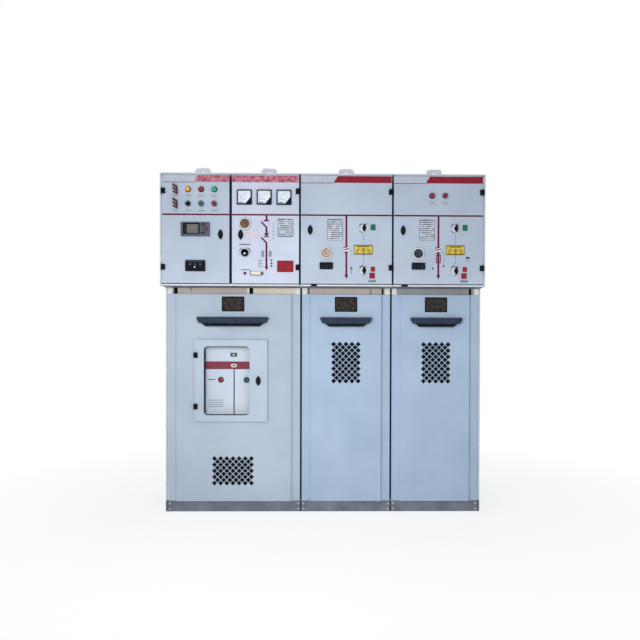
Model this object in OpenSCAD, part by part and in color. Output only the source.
// Row of three gas insulated medium voltage cubicles: a wide breaker cubicle on the left
// and two narrow load switch cubicles beside it, the last one with fuses.
// Millimetres, +X to the right, front towards -Y, +Z up, origin at the middle of the base.

/* [Row] */
// Width of the breaker cubicle
breaker_w = 750; // [720:10:900]
// Width of the load switch cubicle
switch_w = 500; // [480:10:700]
// Width of the fuse switch cubicle
fuse_w = 500; // [480:10:700]
// Depth from the raised face of the lower doors to the back
lower_depth = 840; // [700:10:1000]
// How far the upper box stands ahead of the lower doors
overhang = 100; // [80:5:140]
// How far the tallest control stands ahead of the upper doors
control_reach = 30; // [26:1:40]
// Height of the plinth
plinth_h = 60; // [50:5:120]
// Height of the lower lift-off doors
cable_door_h = 1150; // [1100:10:1300]
// Open gap between the lower doors and the upper box
lift_gap = 35; // [32:1:60]
// Height of the upper box
upper_h = 605; // [590:5:800]
// Depth of the instrument compartment in the upper box
box_depth = 400; // [300:10:500]

/* [Sheet metal] */
// Thickness of the wall, floor and roof sheet
sheet = 2.5; // [2:0.5:4]
// Thickness of the door sheet
door_sheet = 2; // [1.5:0.5:3]
// Gap between one cubicle and the next
joint_gap = 0.4; // [0.2:0.1:0.8]
// Width of the front flange at each end of the row
end_strip = 8; // [6:1:20]
// Height of the front lips of the roof and of the box floor
lip_h = 8; // [5:1:15]
// Side of the square posts behind the lower doors
post_size = 30; // [20:1:40]

/* [Clearances] */
// Gap around the edge of each door
door_gap = 5; // [5:0.5:8]
// Gap between a door's back and the frame behind it
back_gap = 5; // [5:0.5:10]
// Gap under a piece that rests on another body
seat_gap = 0.3; // [0.2:0.1:0.5]
// Radial clearance of a pin or shaft in its bore
pin_clearance = 0.05; // [0.02:0.01:0.1]

/* [Plinth] */
// Thickness of the plinth's folded rails
rail_t = 3; // [3:0.5:5]
// Width of the rail's foot
foot_w = 45; // [40:1:60]
// Radius of the anchor holes
anchor_r = 7; // [5:0.5:9]
// Distance of the anchor holes from the front and back rails
anchor_inset = 90; // [80:5:150]

/* [Upper doors] */
// Depth of the folded upper doors
door_depth = 20; // [15:1:25]
// Gap between the two doors of the breaker cubicle
meeting_gap = 8; // [6:1:12]
// Distance of a door's hinges from its top and bottom edges
hinge_inset = 86; // [50:1:120]
// Distance of a lock from the free edge of its door
lock_inset = 50; // [40:1:70]

/* [Hinges] */
// Height of a hinge block
hinge_h = 30; // [24:1:40]
// Width of a hinge block
hinge_w = 19; // [16:1:24]
// Radius of a hinge pin
pin_r = 2.5; // [2:0.1:3]
// Radius of a hinge eye
eye_r = 5; // [4:0.1:6]
// How far the hinge axis stands ahead of the door face
hinge_stand = 8; // [7:0.5:10]
// Gap between a hinge eye and the parts that pass it
eye_gap = 0.5; // [0.3:0.1:1]
// Thickness of the hinge arm fixed to the frame
arm_t = 2.5; // [2:0.1:3]

/* [Locks and knobs] */
// Width of the oval lock plate
lock_w = 27; // [24:1:40]
// Height of the oval lock plate
lock_h = 55; // [48:1:80]
// Thickness of the oval lock plate
lock_t = 6; // [4:1:10]
// Radius of the lock barrel
barrel_r = 8; // [6:0.5:10]
// How far the barrel stands ahead of the lock plate
barrel_proud = 2; // [1:0.5:4]
// Length of the cam behind the lock
cam_l = 24; // [18:1:30]
// Radius of the control knob
knob_r = 20; // [15:1:26]
// Length of a pointer knob
pointer_l = 38; // [30:1:46]
// Width of a pointer knob's round base
pointer_w = 22; // [18:1:30]
// How far a pointer knob stands ahead of the door
pointer_reach = 18; // [14:1:22]
// Radius of the shafts behind the knobs
shaft_r = 4; // [3:0.5:6]

/* [Door instruments] */
// Radius of a lamp or push button bezel
lamp_r = 15; // [11:0.5:18]
// Distance between lamps
lamp_pitch = 70; // [50:1:80]
// Height of the lamp row above the box floor
lamp_z = 515; // [480:1:540]
// Height of the button row above the box floor
button_z = 438; // [400:1:460]
// Width and height of a panel meter
meter_size = 80; // [60:1:96]
// Distance between panel meters
meter_pitch = 106; // [98:1:115]
// Height of the meters above the box floor
meter_z = 474; // [450:1:500]
// Width of the protection relay
relay_w = 154; // [120:1:200]
// Height of the protection relay
relay_h = 75; // [60:1:100]
// Height of the relay above the box floor
relay_z = 301; // [260:1:340]
// Width of the test block
test_w = 106; // [80:1:140]
// Height of the test block
test_h = 59; // [40:1:80]
// Height of the test block above the box floor
test_z = 106; // [80:1:150]
// Radius of the round operating ports
port_r = 30; // [24:1:36]
// Width of the voltage indicator
indicator_w = 71; // [50:1:90]
// Height of the voltage indicator
indicator_h = 37; // [25:1:50]

/* [Lower doors] */
// How far the middle of a lower door is raised
door_rise = 14; // [10:1:25]
// Width of the flat flange at each side
flange_w = 39; // [30:1:50]
// Width of the slanted flank beside the flange
flank_w = 12; // [8:1:20]
// Width of a view window
view_w = 124; // [80:1:160]
// Height of a view window
view_h = 82; // [60:1:100]
// Distance from the door top to the middle of the view window
view_drop = 56; // [52:1:60]
// Diagonal of a vent's diamond
vent_size = 29; // [15:1:30]
// Distance between vents in a row
vent_pitch = 34; // [32:1:45]
// Length of the tongues that hold a lower door behind the plinth
tongue_l = 18; // [10:1:22]

/* [Handles] */
// Width of the breaker door's handle at its top
breaker_handle_w = 392; // [300:2:420]
// Width of the other doors' handles at their top
switch_handle_w = 285; // [220:2:320]
// Height of a handle
handle_h = 51; // [40:1:60]
// Height of a handle's front lip
handle_lip = 33; // [25:1:38]
// How far each end of a handle slants in
handle_slant = 49; // [30:1:60]
// How far a handle stands ahead of the door
handle_reach = 28; // [24:1:40]
// Wall thickness of a handle
handle_wall = 5; // [4:0.5:8]
// Distance from the door top to the handle top
handle_drop = 129; // [125:1:140]

/* [Inspection door] */
// Width of the inspection door
inspect_w = 400; // [360:5:440]
// Height of the inspection door
inspect_h = 455; // [420:5:480]
// Height of the inspection door above the foot of the lower door
inspect_z = 442; // [420:1:460]
// Depth of the folded inspection door
inspect_depth = 15; // [14:1:22]
// Gap between the inspection door and the face of the lower door
inspect_gap = 2; // [2:0.5:5]
// How far the inspection door laps over the edge of its opening
inspect_lap = 14; // [10:1:20]
// Width of the inspection window
pane_w = 252; // [200:1:280]
// Height of the inspection window
pane_h = 380; // [300:1:390]
// Sideways shift of the inspection window
pane_shift = -24; // [-30:1:-15]
// Corner radius of the inspection window
pane_r = 22; // [10:1:40]
// Thickness of the glass
glass_t = 4; // [3:0.5:6]

/* [Breaker] */
// Width of the breaker's case
case_w = 440; // [400:5:480]
// Height of the breaker's case
case_h = 570; // [500:5:650]
// Depth of the breaker's case
case_d = 380; // [300:5:450]
// Height of the breaker's stand
stand_h = 367; // [320:1:400]
// Distance from the face of the lower door back to the breaker's front
breaker_setback = 38; // [34:1:60]

/* [Lifting lugs] */
// Width of a lug
lug_w = 88; // [70:1:110]
// Height of a lug above the roof
lug_h = 80; // [65:1:100]
// Thickness of a lug
lug_t = 8; // [6:1:12]
// Width of the foot under a lug
lug_foot = 50; // [30:1:80]
// Radius of a lug's eye
lug_eye_r = 20; // [15:1:25]
// Distance between the two lugs across the breaker cubicle
lug_span = 374; // [300:2:500]
// Distance of the front lugs behind the face of the upper doors
lug_setback = 197; // [150:1:250]

/* [Hidden] */
$fn = 48;
CUT = 1;

// Colours of the finishes
paint = [0.73, 0.78, 0.83];
dark_grey = [0.42, 0.43, 0.46];
black = [0.12, 0.14, 0.18];
beige = [0.66, 0.64, 0.62];
zinc = [0.75, 0.75, 0.74];
white = [0.80, 0.85, 0.94];
red = [0.66, 0.16, 0.22];
smoked = [0.16, 0.15, 0.15];

// Places along the row: left edge of each cubicle, and the end of the row
row_w = breaker_w + switch_w + fuse_w;
X = [-row_w / 2, -row_w / 2 + breaker_w, row_w / 2 - fuse_w, row_w / 2];
BREAKER = 0;
SWITCH = 1;
FUSE = 2;
CUBICLES = [BREAKER, SWITCH, FUSE];
half_joint = joint_gap / 2;
wall_in = half_joint + sheet;

// Places from front to back
depth = control_reach + overhang + lower_depth;
y_up = -depth / 2 + control_reach;
y_low = y_up + overhang;
y_back = depth / 2;
y_up_frame = y_up + door_depth + back_gap;
y_flange = y_low + door_rise;
y_low_frame = y_flange + door_sheet + back_gap;
y_box_back = y_up + box_depth;
y_tongue = y_flange + rail_t + seat_gap;
tongue_margin = 4;

// Heights
z_floor = plinth_h + sheet;
z_cable_top = plinth_h + cable_door_h;
z_shelf = z_cable_top + lift_gap;
z_roof = z_shelf + upper_h;
z_door = z_shelf + lip_h + door_gap;
z_door_top = z_roof - lip_h - door_gap;

// Upper doors: left and right edges, and the middle of each
inner_gap = half_joint + door_gap;
end_gap = half_joint + end_strip + door_gap;
x_meeting = (X[0] + end_gap + X[1] - inner_gap) / 2;
INSTRUMENT_X = [X[0] + end_gap, x_meeting - meeting_gap / 2];
BREAKER_X = [x_meeting + meeting_gap / 2, X[1] - inner_gap];
SWITCH_X = [X[1] + inner_gap, X[2] - inner_gap];
FUSE_X = [X[2] + inner_gap, X[3] - end_gap];
function mid(span) = (span[0] + span[1]) / 2;
function cubicle_mid(c) = (X[c] + X[c + 1]) / 2;

// Controls on the upper doors, sideways from the middle of the door and up from the box floor
LEFT = -1;
RIGHT = 1;
lock_z = 274;
switch_lock_z = 301;
lamp_shift = 28;
unit_shift = -3;
meter_shift = -5;
port_shift = -108;
breaker_port_z = 333;
knob_z = 176;
switch_port_z = 177;
indicator_z = 109;
pointer_shift = 96;
upper_pointer_z = 313;
lower_pointer_z = 85;
fuse_lamp_z = 488;
trip_z = 67;
trip_r = 8;
fitting_t = 10;
LAMP_X = [for (i = [-1 : 1]) mid(INSTRUMENT_X) + lamp_shift + i * lamp_pitch];
METER_X = [for (i = [-1 : 1]) mid(BREAKER_X) + meter_shift + i * meter_pitch];
FUSE_LAMP_X = [for (i = [-1, 1]) mid(FUSE_X) + i * lamp_pitch / 2];
instrument_lock_x = INSTRUMENT_X[1] - lock_inset;
breaker_lock_x = BREAKER_X[0] + lock_inset;
switch_lock_x = SWITCH_X[0] + lock_inset;
fuse_lock_x = FUSE_X[0] + lock_inset;

// Inspection door in the breaker cubicle's lower door
inspect_shift = -8;
x_inspect = cubicle_mid(BREAKER) + inspect_shift - inspect_w / 2;
INSPECT_X = [x_inspect, x_inspect + inspect_w];
INSPECT_Z = [plinth_h + inspect_z, plinth_h + inspect_z + inspect_h];
y_inspect = y_low - inspect_gap - inspect_depth;
x_pane = mid(INSPECT_X) + pane_shift;
inspection_lock_x = INSPECT_X[1] - lock_inset;
glass_lap = 10;

// Vents: columns, rows and height of the middle above the plinth
BREAKER_VENT = [7, 5, 169];
SWITCH_VENT = [5, 7, 771];

// Lifting lugs: middle of each along the row and from front to back
LUG_X = [cubicle_mid(BREAKER) - lug_span / 2, cubicle_mid(BREAKER) + lug_span / 2,
         cubicle_mid(SWITCH), cubicle_mid(FUSE)];
LUG_Y = [y_up + lug_setback, y_back - lug_setback];
lug_corner_r = 20;

// Breaker front: height of each feature above the foot of the case
case_x = cubicle_mid(BREAKER);
y_case = y_low + breaker_setback;
z_case = z_floor + stand_h;
band_z = 361;
band_h = 44;
push_z = 303;
push_r = 12;
push_pitch = 141;
flag_z = 432;
flag_w = 70;
flag_h = 26;
stand_w = 60;

// A box between two corners
module block(x, y, z) {
    translate([x[0], y[0], z[0]]) cube([x[1] - x[0], y[1] - y[0], z[1] - z[0]]);
}

// A round bar from y[0] back to y[1]
module bar(x, y, z, r) {
    translate([x, y[0], z]) rotate([-90, 0, 0]) cylinder(h = y[1] - y[0], r = r);
}

// A plate with round corners, facing the front, between two corners
module round_plate(x, y, z, r) {
    block([x[0] + r, x[1] - r], y, z);
    block(x, y, [z[0] + r, z[1] - r]);
    for (cx = [x[0] + r, x[1] - r], cz = [z[0] + r, z[1] - r]) bar(cx, y, cz, r);
}

// Hinge half on the frame: an arm through the door gap, two eyes and the pin.
// side is LEFT or RIGHT, the edge x of the door that it carries
module hinge_frame(edge, side, face, root, z) {
    axis_x = edge - side * (eye_r + eye_gap - (door_gap - arm_t));
    axis_y = face - hinge_stand;
    arm = [edge + side * (door_gap - arm_t), edge + side * door_gap];
    eye_h = hinge_h / 4;
    arm_x = [min(arm), max(arm)];
    bridge_x = [min(axis_x, arm[1]), max(axis_x, arm[1])];
    block(arm_x, [axis_y - eye_r / 2, root], [z - hinge_h / 2, z + hinge_h / 2]);
    for (end = [-1, 1]) {
        eye_z = z + end * (hinge_h - eye_h) / 2 - eye_h / 2;
        translate([axis_x, axis_y, eye_z]) cylinder(h = eye_h, r = eye_r);
        block(bridge_x, [axis_y - eye_r / 2, axis_y + eye_r], [eye_z, eye_z + eye_h]);
    }
    translate([axis_x, axis_y, z - hinge_h / 2]) cylinder(h = hinge_h, r = pin_r);
}

// Hinge half on the door: a leaf on the door face with an eye between the frame's eyes
module hinge_leaf(edge, side, face, z) {
    axis_x = edge - side * (eye_r + eye_gap - (door_gap - arm_t));
    axis_y = face - hinge_stand;
    eye_h = hinge_h / 2 - 2 * seat_gap;
    leaf = [axis_x - side * (hinge_w - eye_r), axis_x - side * (eye_r + eye_gap)];
    neck = [axis_x - side * (hinge_w - eye_r), axis_x];
    difference() {
        union() {
            block([min(leaf), max(leaf)], [axis_y, face], [z - hinge_h / 2, z + hinge_h / 2]);
            block([min(neck), max(neck)], [axis_y, face], [z - eye_h / 2, z + eye_h / 2]);
            translate([axis_x, axis_y, z - eye_h / 2]) cylinder(h = eye_h, r = eye_r);
        }
        translate([axis_x, axis_y, z - hinge_h]) cylinder(h = 2 * hinge_h, r = pin_r + pin_clearance);
    }
}

// Heights of a door's two hinges
function hinge_heights(z) = [z[0] + hinge_inset, z[1] - hinge_inset];

// Folded sheet door: a front with its edges turned back
module folded_door(x, y, z) {
    difference() {
        block(x, y, z);
        block([x[0] + door_sheet, x[1] - door_sheet], [y[0] + door_sheet, y[1] + CUT],
              [z[0] + door_sheet, z[1] - door_sheet]);
    }
}

// Upper door with its hinge leaves and with bores for what turns in it, each [x, z, r]
module upper_door(x, side, bores) {
    z = [z_door, z_door_top];
    edge = side == LEFT ? x[0] : x[1];
    color(paint) {
        difference() {
            folded_door(x, [y_up, y_up + door_depth], z);
            for (b = bores)
                bar(b[0], [y_up - CUT, y_up + door_depth], z_shelf + b[1], b[2] + pin_clearance);
        }
        for (h = hinge_heights(z)) hinge_leaf(edge, side, y_up, h);
    }
}

// Pointed oval lock plate fixed to a door face, where two arcs meet, with a bore for the barrel
module lock_plate(x, face, z) {
    arc_r = (lock_h * lock_h + lock_w * lock_w) / (4 * lock_w);
    shift = arc_r - lock_w / 2;
    difference() {
        intersection() {
            bar(x - shift, [face - lock_t, face], z, arc_r);
            bar(x + shift, [face - lock_t, face], z, arc_r);
        }
        bar(x, [face - lock_t - CUT, face + CUT], z, barrel_r + pin_clearance);
    }
}

// Turning lock barrel with a cam behind the door
module lock_barrel(x, face, z) {
    cam_y = face + door_sheet + seat_gap;
    color(black) {
        bar(x, [face - lock_t - barrel_proud, cam_y + sheet], z, barrel_r);
        block([x - barrel_r, x + barrel_r], [cam_y, cam_y + sheet], [z - cam_l, z]);
    }
}

// Knob shaft with a collar that holds it behind the door
module shaft(x, z) {
    collar_y = y_up + door_sheet + seat_gap;
    bar(x, [y_up - seat_gap - CUT, collar_y + sheet], z, shaft_r);
    bar(x, [collar_y, collar_y + sheet], z, shaft_r + sheet);
}

// Pointer knob on a round base
module pointer_knob(x, z) {
    top = y_up - pointer_reach;
    grip_w = pointer_w / 2;
    color(black) {
        bar(x, [y_up - pointer_reach / 2, y_up - seat_gap], z, pointer_w / 2);
        block([x - grip_w / 2, x + grip_w / 2], [top, y_up - pointer_reach / 3],
              [z - pointer_l / 2, z + pointer_l / 2]);
        shaft(x, z);
    }
}

// Round lamp or push button: a bezel and a lens
module lamp(x, z) {
    bar(x, [y_up - fitting_t / 2, y_up], z, lamp_r);
    bar(x, [y_up - 2 * fitting_t, y_up], z, lamp_r - sheet);
}

// Round port with a raised rim
module port(x, z, r) {
    difference() {
        bar(x, [y_up - fitting_t, y_up], z, r);
        bar(x, [y_up - fitting_t - CUT, y_up - fitting_t / 2], z, r - 2 * sheet);
    }
}

// A flat instrument on an upper door, between the middle and its half sizes
module instrument(x, z, w, h, t) {
    block([x - w / 2, x + w / 2], [y_up - t, y_up], [z - h / 2, z + h / 2]);
}

// Anchor holes in the foot of a front or back rail
module anchors(c, y) {
    for (x = [X[c] + anchor_inset, X[c + 1] - anchor_inset])
        translate([x, y, -CUT]) cylinder(h = rail_t + 2 * CUT, r = anchor_r);
}

// Front and back plinth rails, each a web with a foot turned in under the cubicle
module plinth_rails() color(dark_grey) for (c = CUBICLES) {
    x = [X[c] + half_joint, X[c + 1] - half_joint];
    difference() {
        union() {
            block(x, [y_flange, y_flange + rail_t], [0, plinth_h]);
            block(x, [y_flange, y_flange + foot_w], [0, rail_t]);
        }
        anchors(c, y_flange + foot_w / 2);
    }
    difference() {
        union() {
            block(x, [y_back - rail_t, y_back], [0, plinth_h]);
            block(x, [y_back - foot_w, y_back], [0, rail_t]);
        }
        anchors(c, y_back - foot_w / 2);
    }
}

module plinth_sides() color(dark_grey) for (c = CUBICLES) {
    y = [y_flange + foot_w, y_back - foot_w];
    block([X[c] + half_joint, X[c] + half_joint + rail_t], y, [0, plinth_h]);
    block([X[c + 1] - half_joint - rail_t, X[c + 1] - half_joint], y, [0, plinth_h]);
}

module floor_plates() color(paint) for (c = CUBICLES)
    block([X[c] + half_joint, X[c + 1] - half_joint], [y_low_frame, y_back], [plinth_h, z_floor]);

// Side walls of all cubicles; the row's two end walls have a front flange beside the doors
module side_walls(front, face, z) {
    flange = half_joint + end_strip;
    for (c = CUBICLES) {
        block([X[c] + half_joint, X[c] + wall_in], [front, y_back], z);
        block([X[c + 1] - wall_in, X[c + 1] - half_joint], [front, y_back], z);
    }
    block([X[BREAKER] + half_joint, X[BREAKER] + flange], [face, front], z);
    block([X[FUSE + 1] - flange, X[FUSE + 1] - half_joint], [face, front], z);
}

module lower_walls() color(paint) side_walls(y_low_frame, y_flange, [z_floor, z_shelf]);

module upper_walls() color(paint) side_walls(y_up_frame, y_up, [z_shelf, z_roof - sheet]);

module back_panels() color(paint) for (c = CUBICLES)
    block([X[c] + wall_in, X[c + 1] - wall_in], [y_back - sheet, y_back], [z_floor, z_roof - sheet]);

// Clear width between the walls or end flanges of an upper box
function box_x(c) = [X[c] + (c == BREAKER ? half_joint + end_strip : wall_in),
                     X[c + 1] - (c == FUSE ? half_joint + end_strip : wall_in)];

module roof_panels() color(paint) for (c = CUBICLES) {
    block([X[c] + half_joint, X[c + 1] - half_joint], [y_up, y_back], [z_roof - sheet, z_roof]);
    block(box_x(c), [y_up, y_up + sheet], [z_roof - lip_h, z_roof]);
}

// Floors of the upper boxes, with a front lip turned up
module shelves() color(paint) for (c = CUBICLES) {
    block(box_x(c), [y_up, y_box_back + sheet], [z_shelf, z_shelf + sheet]);
    block(box_x(c), [y_up, y_up + sheet], [z_shelf, z_shelf + lip_h]);
}

module compartment_backs() color(paint) for (c = CUBICLES)
    block(box_x(c), [y_box_back, y_box_back + sheet], [z_shelf + sheet, z_roof - sheet]);

// Square tube post
module post(x, y, z) {
    difference() {
        block(x, y, z);
        block([x[0] + sheet, x[1] - sheet], [y[0] + sheet, y[1] - sheet], [z[0] - CUT, z[1] + CUT]);
    }
}

// Posts behind the lower doors, and the one behind the meeting edges of the breaker cubicle's doors
module posts() color(zinc) {
    y = [y_low_frame, y_low_frame + post_size];
    for (c = CUBICLES) {
        post([X[c] + wall_in, X[c] + wall_in + post_size], y, [z_floor, z_shelf]);
        post([X[c + 1] - wall_in - post_size, X[c + 1] - wall_in], y, [z_floor, z_shelf]);
    }
    post([x_meeting - post_size / 2, x_meeting + post_size / 2],
         [y_up_frame, y_up_frame + post_size], [z_shelf + sheet, z_roof - sheet]);
}

module recess_panels() color(beige) for (c = CUBICLES) {
    side = wall_in + post_size;
    y = y_low_frame + post_size / 4;
    block([X[c] + side, X[c + 1] - side], [y, y + sheet], [z_cable_top - lift_gap / 3, z_shelf]);
}

module lifting_lugs() color(paint) for (x = LUG_X, y = LUG_Y) {
    plate_y = [y - lug_t / 2, y + lug_t / 2];
    plate_x = [x - lug_w / 2, x + lug_w / 2];
    difference() {
        union() {
            round_plate(plate_x, plate_y, [z_roof, z_roof + lug_h], lug_corner_r);
            block(plate_x, plate_y, [z_roof, z_roof + lug_h / 2]);
            block(plate_x, [y - lug_foot / 2, y + lug_foot / 2], [z_roof, z_roof + lug_t / 2]);
        }
        bar(x, [y - lug_t, y + lug_t], z_roof + lug_h / 2, lug_eye_r);
    }
}

module door_hinges() color(black) for (z = hinge_heights([z_door, z_door_top])) {
    hinge_frame(INSTRUMENT_X[0], LEFT, y_up, y_up_frame, z);
    for (x = [BREAKER_X[1], SWITCH_X[1], FUSE_X[1]]) hinge_frame(x, RIGHT, y_up, y_up_frame, z);
}

module breaker_case() color(white)
    block([case_x - case_w / 2, case_x + case_w / 2], [y_case, y_case + case_d], [z_case, z_case + case_h]);

// Front of the breaker: a band with a boss, two push buttons and a state flag
module breaker_controls() {
    t = 2 * sheet;
    color(red) {
        block([case_x - case_w / 2, case_x + case_w / 2], [y_case - sheet, y_case],
              [z_case + band_z, z_case + band_z + band_h]);
        round_plate([case_x - band_h / 2, case_x + band_h / 2], [y_case - 2 * sheet, y_case],
                    [z_case + band_z + band_h / 4, z_case + band_z + band_h * 3 / 4], band_h / 5);
        for (side = [-1, 1])
            bar(case_x + side * push_pitch / 2, [y_case - t, y_case], z_case + push_z, push_r);
        block([case_x - flag_w / 2, case_x + flag_w / 2], [y_case - sheet, y_case],
              [z_case + flag_z, z_case + flag_z + flag_h]);
    }
}

module breaker_stand() color(zinc) for (side = [-1, 1]) {
    x = case_x + side * (case_w - stand_w) / 2;
    block([x - stand_w / 2, x + stand_w / 2], [y_case, y_case + case_d], [z_floor, z_case]);
}

module instrument_door()
    upper_door(INSTRUMENT_X, LEFT, [[instrument_lock_x, lock_z, barrel_r]]);

module instrument_fittings() color(black) {
    for (x = LAMP_X) {
        lamp(x, z_shelf + lamp_z);
        lamp(x, z_shelf + button_z);
    }
    lock_plate(instrument_lock_x, y_up, z_shelf + lock_z);
}

module relay_unit() color(dark_grey)
    instrument(mid(INSTRUMENT_X) + unit_shift, z_shelf + relay_z, relay_w, relay_h, fitting_t);

module test_block() color(black)
    instrument(mid(INSTRUMENT_X) + unit_shift, z_shelf + test_z, test_w, test_h, fitting_t);

module instrument_lock() lock_barrel(instrument_lock_x, y_up, z_shelf + lock_z);

module breaker_door()
    upper_door(BREAKER_X, RIGHT, [[breaker_lock_x, lock_z, barrel_r],
                                  [mid(BREAKER_X) + port_shift, knob_z, shaft_r]]);

module panel_meters() color(black) for (x = METER_X)
    instrument(x, z_shelf + meter_z, meter_size, meter_size, fitting_t);

module breaker_fittings() color(zinc) {
    port(mid(BREAKER_X) + port_shift, z_shelf + breaker_port_z, port_r);
    lock_plate(breaker_lock_x, y_up, z_shelf + lock_z);
    bar(mid(BREAKER_X) + port_shift, [y_up - fitting_t / 2, y_up], z_shelf + trip_z, trip_r);
}

module breaker_lock() lock_barrel(breaker_lock_x, y_up, z_shelf + lock_z);

module control_knob() color(black) {
    x = mid(BREAKER_X) + port_shift;
    z = z_shelf + knob_z;
    bar(x, [y_up - control_reach / 3, y_up - seat_gap], z, knob_r);
    bar(x, [y_up - control_reach, y_up - seat_gap], z, knob_r * 3 / 4);
    shaft(x, z);
}

// Bores in a load switch cubicle's upper door
function switch_bores(x, lock_x) = [[lock_x, switch_lock_z, barrel_r],
                                    [mid(x) + pointer_shift, upper_pointer_z, shaft_r],
                                    [mid(x) + pointer_shift, lower_pointer_z, shaft_r]];

// Port, voltage indicator and lock plate of a load switch cubicle
module switch_set(x, lock_x) {
    port(mid(x) + port_shift, z_shelf + switch_port_z, port_r);
    instrument(mid(x) + port_shift, z_shelf + indicator_z, indicator_w, indicator_h, fitting_t);
    lock_plate(lock_x, y_up, z_shelf + switch_lock_z);
}

module switch_door() upper_door(SWITCH_X, RIGHT, switch_bores(SWITCH_X, switch_lock_x));

module switch_fittings() color(zinc) switch_set(SWITCH_X, switch_lock_x);

module switch_lock() lock_barrel(switch_lock_x, y_up, z_shelf + switch_lock_z);

module switch_upper_pointer() pointer_knob(mid(SWITCH_X) + pointer_shift, z_shelf + upper_pointer_z);

module switch_lower_pointer() pointer_knob(mid(SWITCH_X) + pointer_shift, z_shelf + lower_pointer_z);

module fuse_door() upper_door(FUSE_X, RIGHT, switch_bores(FUSE_X, fuse_lock_x));

module fuse_fittings() color(zinc) {
    switch_set(FUSE_X, fuse_lock_x);
    for (x = FUSE_LAMP_X) lamp(x, z_shelf + fuse_lamp_z);
}

module fuse_lock() lock_barrel(fuse_lock_x, y_up, z_shelf + switch_lock_z);

module fuse_upper_pointer() pointer_knob(mid(FUSE_X) + pointer_shift, z_shelf + upper_pointer_z);

module fuse_lower_pointer() pointer_knob(mid(FUSE_X) + pointer_shift, z_shelf + lower_pointer_z);

// Hat section of a lower door, seen from above: flange, flank, raised middle, flank, flange
function hat_line(x, y) = [[x[0], y + door_rise], [x[0] + flange_w, y + door_rise],
                           [x[0] + flange_w + flank_w, y], [x[1] - flange_w - flank_w, y],
                           [x[1] - flange_w, y + door_rise], [x[1], y + door_rise]];
function reverse(list) = [for (i = [len(list) - 1 : -1 : 0]) list[i]];
function cable_door_x(c) = [X[c] + (c == BREAKER ? end_gap : inner_gap),
                            X[c + 1] - (c == FUSE ? end_gap : inner_gap)];

// Lower door: a folded hat section closed at the top and the foot, with two tongues that drop
// behind the plinth's front rail and hold the door until it is lifted off
module cable_door_blank(c) {
    x = cable_door_x(c);
    z = [plinth_h + seat_gap, z_cable_top];
    outer = hat_line(x, y_low);
    inner = hat_line(x, y_low + door_sheet);
    translate([0, 0, z[0]]) linear_extrude(z[1] - z[0]) polygon(concat(outer, reverse(inner)));
    for (foot = [z[0], z[1] - door_sheet])
        translate([0, 0, foot]) linear_extrude(door_sheet)
            polygon([for (i = [1 : 4]) outer[i]]);
    for (edge = [x[0] + tongue_margin, x[1] - flange_w + tongue_margin]) {
        tongue_x = [edge, edge + flange_w - 2 * tongue_margin];
        block(tongue_x, [y_flange + door_sheet, y_tongue + door_sheet], [z[0], z[0] + tongue_l]);
        block(tongue_x, [y_tongue, y_tongue + door_sheet], [z[0] - tongue_l, z[0]]);
    }
}

// Diamond vents in two interleaved grids, around a middle above the plinth
module vents(c, layout) {
    side = vent_size / sqrt(2);
    for (shift = [0, 1]) {
        cols = layout[0] - shift;
        rows = layout[1] - shift;
        for (i = [0 : cols - 1], j = [0 : rows - 1])
            translate([cubicle_mid(c) + (i - (cols - 1) / 2) * vent_pitch, y_low,
                       plinth_h + layout[2] + (j - (rows - 1) / 2) * vent_pitch])
                rotate([0, 45, 0]) cube([side, 3 * door_sheet, side], center = true);
    }
}

module view_hole(c) {
    z = z_cable_top - view_drop;
    block([cubicle_mid(c) - view_w / 2, cubicle_mid(c) + view_w / 2],
          [y_low - CUT, y_low + door_sheet + CUT], [z - view_h / 2, z + view_h / 2]);
}

module view_glass(c) {
    z = z_cable_top - view_drop;
    w = view_w / 2 + glass_lap;
    h = view_h / 2 + glass_lap;
    y = y_low + door_sheet;
    color(smoked) block([cubicle_mid(c) - w, cubicle_mid(c) + w], [y, y + glass_t], [z - h, z + h]);
}

// Grab handle: a wide front lip over a narrower slanted skirt, with the finger space open below
module handle(c, w) {
    top = z_cable_top - handle_drop;
    x = cubicle_mid(c);
    half = w / 2;
    inner_w = half - handle_slant - handle_wall;
    right = [[half, 0], [half, -handle_lip / 3], [half - handle_slant / 4, -handle_lip],
             [half - handle_slant / 2, -handle_lip], [half - handle_slant, -handle_h]];
    left = [for (i = [len(right) - 1 : -1 : 0]) [-right[i][0], right[i][1]]];
    color(black) difference() {
        translate([x, y_low, top]) rotate([90, 0, 0]) linear_extrude(handle_reach) polygon(concat(right, left));
        block([x - inner_w, x + inner_w], [y_low - handle_reach + handle_wall, y_low + CUT],
              [top - handle_h - CUT, top - handle_wall]);
    }
}

// Lower door of the breaker cubicle, with the opening and the hinge arms of the inspection door
module breaker_cable_door() color(paint) {
    difference() {
        cable_door_blank(BREAKER);
        block([INSPECT_X[0] + inspect_lap, INSPECT_X[1] - inspect_lap],
              [y_low - CUT, y_low + door_sheet + CUT],
              [INSPECT_Z[0] + inspect_lap, INSPECT_Z[1] - inspect_lap]);
        view_hole(BREAKER);
        vents(BREAKER, BREAKER_VENT);
    }
    for (z = hinge_heights(INSPECT_Z)) hinge_frame(INSPECT_X[0], LEFT, y_inspect, y_low + door_sheet, z);
}

module breaker_handle() handle(BREAKER, breaker_handle_w);

module breaker_view_glass() view_glass(BREAKER);

// Lower door of a load switch cubicle
module vented_cable_door(c) color(paint) difference() {
    cable_door_blank(c);
    view_hole(c);
    vents(c, SWITCH_VENT);
}

module switch_cable_door() vented_cable_door(SWITCH);

module switch_handle() handle(SWITCH, switch_handle_w);

module switch_view_glass() view_glass(SWITCH);

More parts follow.
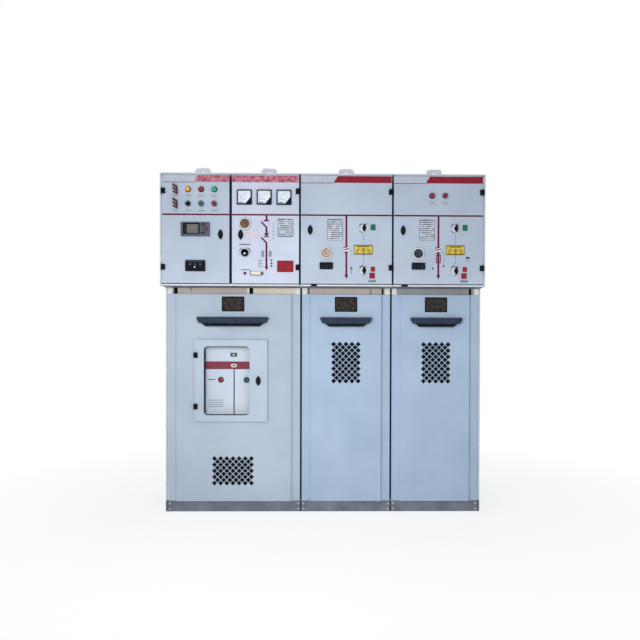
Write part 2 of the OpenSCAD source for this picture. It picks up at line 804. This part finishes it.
module fuse_cable_door() vented_cable_door(FUSE);

module fuse_handle() handle(FUSE, switch_handle_w);

module fuse_view_glass() view_glass(FUSE);

module inspection_door() color(paint) {
    pane_x = [x_pane - pane_w / 2, x_pane + pane_w / 2];
    pane_z = [mid(INSPECT_Z) - pane_h / 2, mid(INSPECT_Z) + pane_h / 2];
    difference() {
        folded_door(INSPECT_X, [y_inspect, y_inspect + inspect_depth], INSPECT_Z);
        round_plate(pane_x, [y_inspect - CUT, y_inspect + door_sheet + CUT], pane_z, pane_r);
        bar(inspection_lock_x, [y_inspect - CUT, y_inspect + inspect_depth], mid(INSPECT_Z),
            barrel_r + pin_clearance);
    }
    for (z = hinge_heights(INSPECT_Z)) hinge_leaf(INSPECT_X[0], LEFT, y_inspect, z);
    lock_plate(inspection_lock_x, y_inspect, mid(INSPECT_Z));
}

module inspection_glass() {
    y = y_inspect + door_sheet;
    color(smoked, 0.4)
        block([x_pane - pane_w / 2 - glass_lap, x_pane + pane_w / 2 + glass_lap], [y, y + glass_t],
              [mid(INSPECT_Z) - pane_h / 2 - glass_lap, mid(INSPECT_Z) + pane_h / 2 + glass_lap]);
}

module inspection_lock() lock_barrel(inspection_lock_x, y_inspect, mid(INSPECT_Z));

plinth_rails();
plinth_sides();
floor_plates();
lower_walls();
upper_walls();
back_panels();
roof_panels();
shelves();
compartment_backs();
posts();
recess_panels();
lifting_lugs();
door_hinges();
breaker_case();
breaker_controls();
breaker_stand();
instrument_door();
instrument_fittings();
relay_unit();
test_block();
instrument_lock();
breaker_door();
panel_meters();
breaker_fittings();
breaker_lock();
control_knob();
switch_door();
switch_fittings();
switch_lock();
switch_upper_pointer();
switch_lower_pointer();
fuse_door();
fuse_fittings();
fuse_lock();
fuse_upper_pointer();
fuse_lower_pointer();
breaker_cable_door();
breaker_handle();
breaker_view_glass();
switch_cable_door();
switch_handle();
switch_view_glass();
fuse_cable_door();
fuse_handle();
fuse_view_glass();
inspection_door();
inspection_glass();
inspection_lock();
